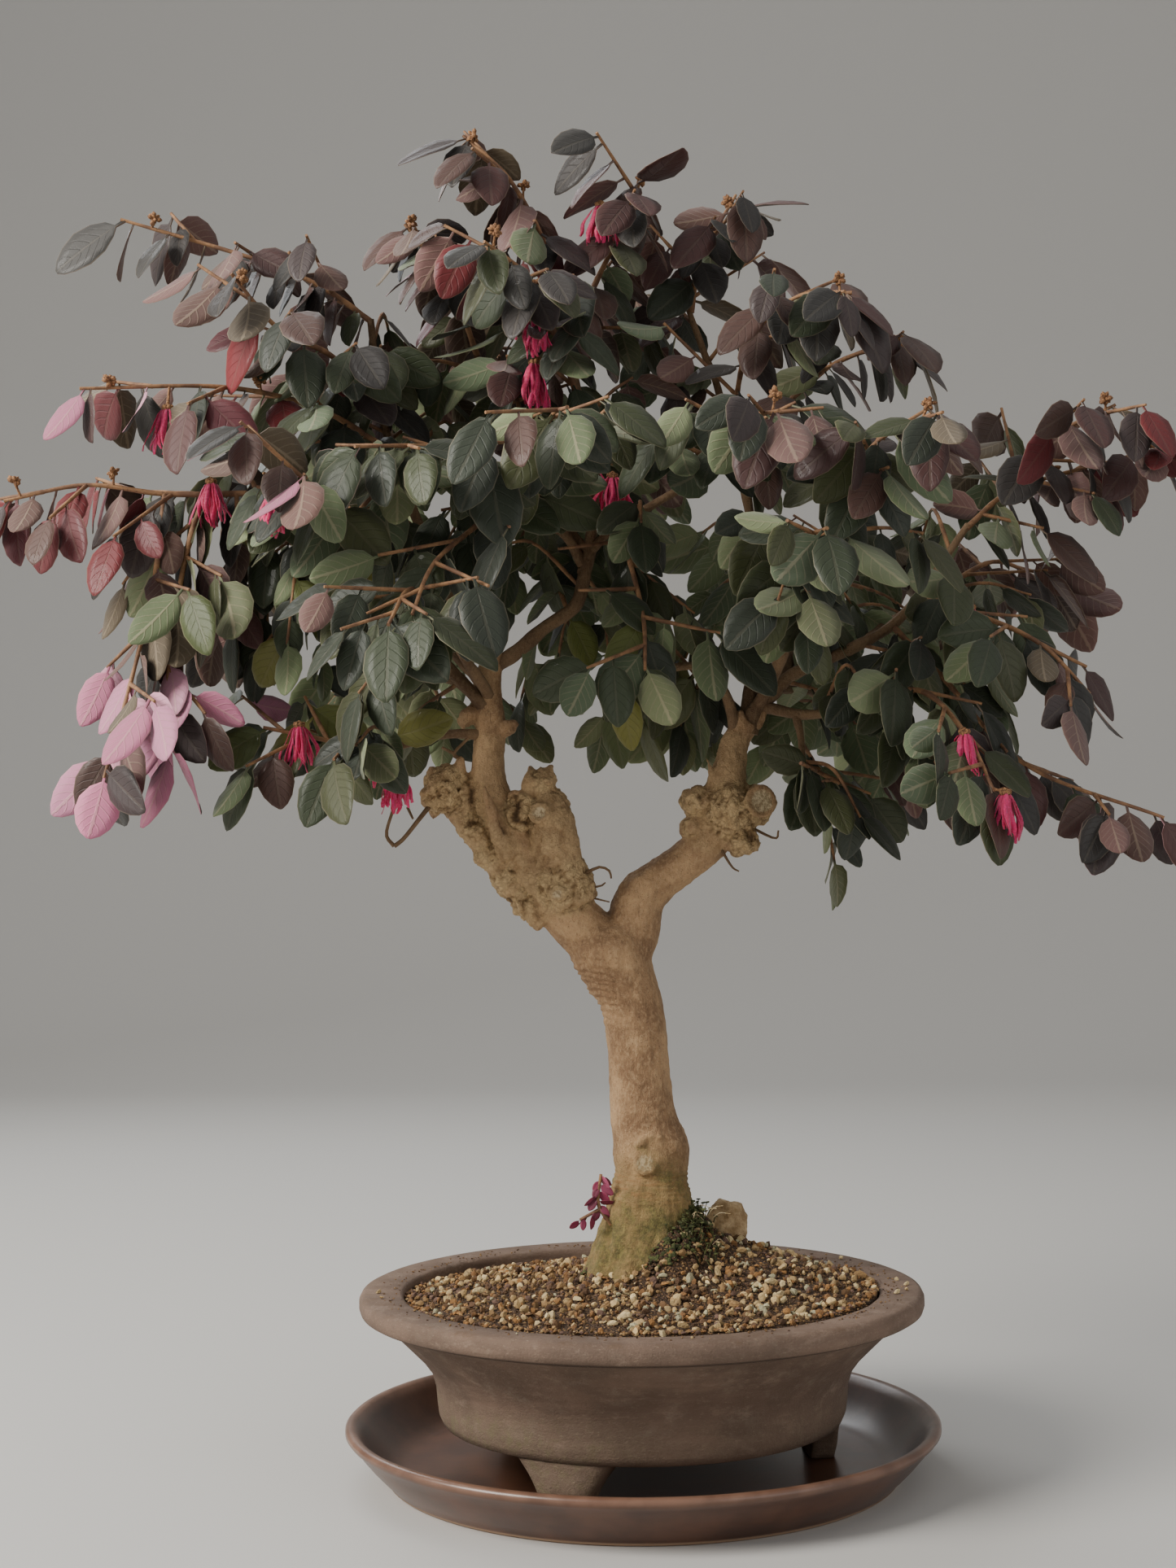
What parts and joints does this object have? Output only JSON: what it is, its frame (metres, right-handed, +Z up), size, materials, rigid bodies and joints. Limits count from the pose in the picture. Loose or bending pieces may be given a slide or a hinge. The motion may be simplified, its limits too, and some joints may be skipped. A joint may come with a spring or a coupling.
{
  "type": "loropetalum bonsai",
  "caption": "Broad-crowned bonsai with purple and green oval leaves and pink strap-petalled blooms, in a round footed clay pot on a glazed saucer.",
  "frame": {"origin": "centre of the saucer's underside, on the pot's axis, at the level the saucer stands on", "axes": "+Z up along the pot's axis, -Y towards the front that the picture shows, +X to the right of that view"},
  "size_m": [0.647, 0.3846, 0.6934],
  "materials": {
    "glazed_clay": "glossy red-brown glaze over clay, worn pale at the rim",
    "pot_clay": "unglazed brown stoneware with lime and algae marks",
    "screen_plastic": "black plastic net",
    "soil_granules": "mixed pumice, fired clay and dark grains",
    "stone": "rough tan stone",
    "bark": "smooth light brown bark, flaking at the burls, green with algae at the foot",
    "leaf": "dark olive to purple leaf with a paler underside",
    "young_leaf": "pink-red young leaf",
    "petal": "hot pink petal"
  },
  "bodies": {
    "root": {"saucer": "glazed_clay", "pot": "pot_clay", "drain_screen": "screen_plastic", "soil": "soil_granules", "rock": "stone", "tree_wood": "bark", "basal_shoot": "young_leaf", "bloom_top": "petal", "bloom_high": "petal", "bloom_front": "petal", "bloom_front_low": "petal", "bloom_left": "petal", "bloom_left_stem": "petal", "bloom_left_front": "petal", "bloom_left_low": "petal", "bloom_left_end": "petal", "bloom_inner": "petal", "bloom_inner_low": "petal", "bloom_inner_high": "petal", "bloom_right": "petal", "bloom_right_tip": "petal", "bloom_right_mid": "petal", "spray_left_tip": "leaf", "spray_left_high": "leaf", "spray_left_mid": "leaf", "spray_left_up": "leaf", "spray_left_front": "leaf", "spray_left_low": "leaf", "spray_left_back_high": "leaf", "spray_left_back_mid": "leaf", "spray_left_rear_low": "leaf", "spray_left_rear_high": "leaf", "spray_front_left_low": "leaf", "spray_front_left": "leaf", "spray_front_mid": "leaf", "spray_front_centre": "leaf", "spray_top_left": "leaf", "spray_top_mid": "leaf", "spray_top_right": "leaf", "spray_top_front": "leaf", "spray_top_side": "leaf", "spray_top_back": "leaf", "spray_back_left": "leaf", "spray_back_mid": "leaf", "spray_right_high": "leaf", "spray_right_shoulder": "leaf", "spray_right_mid": "leaf", "spray_right_far": "leaf", "spray_right_low_far": "leaf", "spray_right_low": "leaf", "spray_right_mid_low": "leaf", "spray_right_under": "leaf", "spray_centre_hang": "leaf", "spray_centre_low": "leaf", "spray_front_right": "leaf", "spray_front_right_low": "leaf", "spray_right_back": "leaf", "spray_right_rear_high": "leaf", "spray_right_rear_low": "leaf", "spray_back_right": "leaf"}
  },
  "joints": []
}
